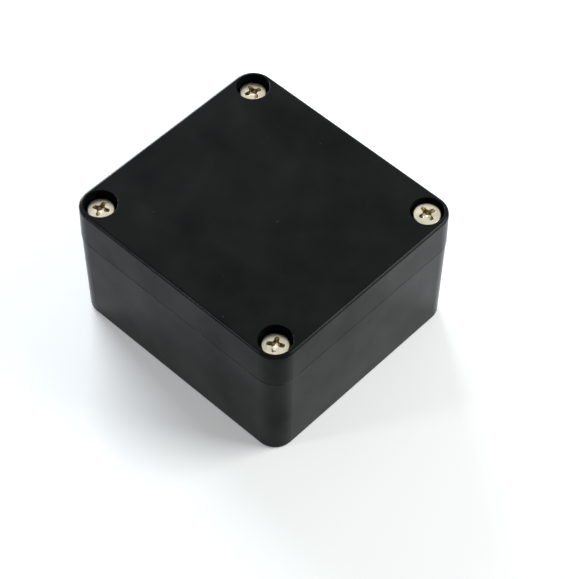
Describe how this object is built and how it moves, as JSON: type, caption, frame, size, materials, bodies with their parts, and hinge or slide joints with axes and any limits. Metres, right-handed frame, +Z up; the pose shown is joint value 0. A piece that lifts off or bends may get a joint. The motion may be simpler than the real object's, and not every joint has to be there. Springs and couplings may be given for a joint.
{
  "type": "plastic project box",
  "caption": "Small rectangular moulded enclosure with a sealed screw-on lid, recessed corner screws and board bosses inside, for a circuit board.",
  "frame": {"origin": "centre of the flat underside, at the height of the surface that the box stands on", "axes": "+X along the length, +Y along the width, +Z up out of the lid; the front is the -Y side and the right is the +X side"},
  "size_m": [0.063, 0.058, 0.035],
  "materials": {
    "shell": "satin black moulded plastic with a fine texture",
    "gasket": "soft dark foam rubber",
    "insert": "plain turned brass",
    "screw": "bright nickel plate, slightly warm"
  },
  "bodies": {
    "base": {"base": "shell", "insert_front_left": "insert", "insert_front_right": "insert", "insert_rear_left": "insert", "insert_rear_right": "insert"},
    "lid": {"lid": "shell", "gasket": "gasket"},
    "screw_front_left": {"screw_front_left": "screw"},
    "screw_front_right": {"screw_front_right": "screw"},
    "screw_rear_left": {"screw_rear_left": "screw"},
    "screw_rear_right": {"screw_rear_right": "screw"}
  },
  "joints": [
    {"name": "lid_lift", "type": "slide", "parent": "base", "child": "lid", "axis": [0, 0, 1], "range_m": [0, 0.04]},
    {"name": "screw_front_left_draw", "type": "slide", "parent": "lid", "child": "screw_front_left", "axis": [0, 0, 1], "range_m": [0, 0.022]},
    {"name": "screw_front_right_draw", "type": "slide", "parent": "lid", "child": "screw_front_right", "axis": [0, 0, 1], "range_m": [0, 0.022]},
    {"name": "screw_rear_left_draw", "type": "slide", "parent": "lid", "child": "screw_rear_left", "axis": [0, 0, 1], "range_m": [0, 0.022]},
    {"name": "screw_rear_right_draw", "type": "slide", "parent": "lid", "child": "screw_rear_right", "axis": [0, 0, 1], "range_m": [0, 0.022]}
  ]
}
